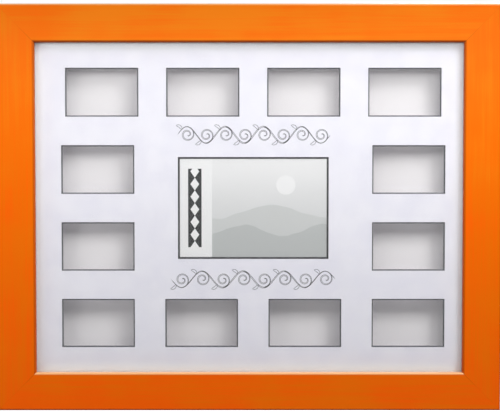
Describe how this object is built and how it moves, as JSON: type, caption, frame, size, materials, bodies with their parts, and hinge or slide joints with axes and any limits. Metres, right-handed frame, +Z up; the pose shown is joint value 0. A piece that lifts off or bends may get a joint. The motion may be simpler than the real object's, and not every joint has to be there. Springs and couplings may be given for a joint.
{
  "type": "collage photo frame",
  "caption": "Wall-hung wooden photo frame with a flat mitred moulding and a white mat that has small bevel-cut windows round a large centre window, over a recessed white ground.",
  "frame": {"origin": "on the wall, in the plane of the four bumper faces, behind the centre of the picture", "axes": "+X to the right of someone who looks at the picture, +Y into the wall, +Z up; the picture faces -Y"},
  "size_m": [0.5238, 0.0342, 0.4224],
  "materials": {
    "painted_wood": "orange stain under satin lacquer, faint lengthwise grain",
    "nail_steel": "bare rolled strip",
    "clear_sheet": "clear polished acrylic sheet",
    "mat": "fine-toothed white face paper over a dark core",
    "print_paper": "satin print",
    "paper_tape": "gummed linen tape",
    "foam_board": "white foam board strip",
    "ground": "smooth white board",
    "hardboard": "smooth brown hardboard",
    "zinc_steel": "zinc plated",
    "nickel_steel": "nickel plated",
    "button_steel": "zinc plated pressed strip",
    "bumper_rubber": "matt moulded rubber"
  },
  "bodies": {
    "frame": {"rail_top": "painted_wood", "rail_bottom": "painted_wood", "rail_left": "painted_wood", "rail_right": "painted_wood", "corner_v_nails": "nail_steel", "glazing_sheet": "clear_sheet", "mat_board": "mat", "centre_print": "print_paper", "print_tapes": "paper_tape", "spacer_top": "foam_board", "spacer_bottom": "foam_board", "spacer_left": "foam_board", "spacer_right": "foam_board", "ground_board": "ground", "back_panel": "hardboard", "button_screws": "zinc_steel", "hanger_strap_left": "nickel_steel", "hanger_strap_right": "nickel_steel", "hanger_screws": "zinc_steel", "wall_bumpers": "bumper_rubber"},
    "button_top_left": {"turn_button_top_left": "button_steel"},
    "button_top_right": {"turn_button_top_right": "button_steel"},
    "button_bottom_left": {"turn_button_bottom_left": "button_steel"},
    "button_bottom_right": {"turn_button_bottom_right": "button_steel"},
    "button_left": {"turn_button_left": "button_steel"},
    "button_right": {"turn_button_right": "button_steel"},
    "ring_left": {"hanger_ring_left": "nickel_steel"},
    "ring_right": {"hanger_ring_right": "nickel_steel"}
  },
  "joints": [
    {"name": "button_top_left_turn", "type": "hinge", "parent": "frame", "child": "button_top_left", "pos_m": [-0.12, -0.005, 0.1876], "axis": [0, 1, 0], "continuous": true},
    {"name": "button_top_right_turn", "type": "hinge", "parent": "frame", "child": "button_top_right", "pos_m": [0.12, -0.005, 0.1876], "axis": [0, 1, 0], "continuous": true},
    {"name": "button_bottom_left_turn", "type": "hinge", "parent": "frame", "child": "button_bottom_left", "pos_m": [-0.12, -0.005, -0.1876], "axis": [0, 1, 0], "continuous": true},
    {"name": "button_bottom_right_turn", "type": "hinge", "parent": "frame", "child": "button_bottom_right", "pos_m": [0.12, -0.005, -0.1876], "axis": [0, 1, 0], "continuous": true},
    {"name": "button_left_turn", "type": "hinge", "parent": "frame", "child": "button_left", "pos_m": [-0.2384, -0.005, 0], "axis": [0, 1, 0], "continuous": true},
    {"name": "button_right_turn", "type": "hinge", "parent": "frame", "child": "button_right", "pos_m": [0.2384, -0.005, 0], "axis": [0, 1, 0], "continuous": true},
    {"name": "ring_left_swing", "type": "hinge", "parent": "frame", "child": "ring_left", "pos_m": [-0.23325, -0.00272, 0.10615], "axis": [0, 0, 1], "range_deg": [0, 160]},
    {"name": "ring_right_swing", "type": "hinge", "parent": "frame", "child": "ring_right", "pos_m": [0.23325, -0.00272, 0.10615], "axis": [0, 0, -1], "range_deg": [0, 160]}
  ]
}
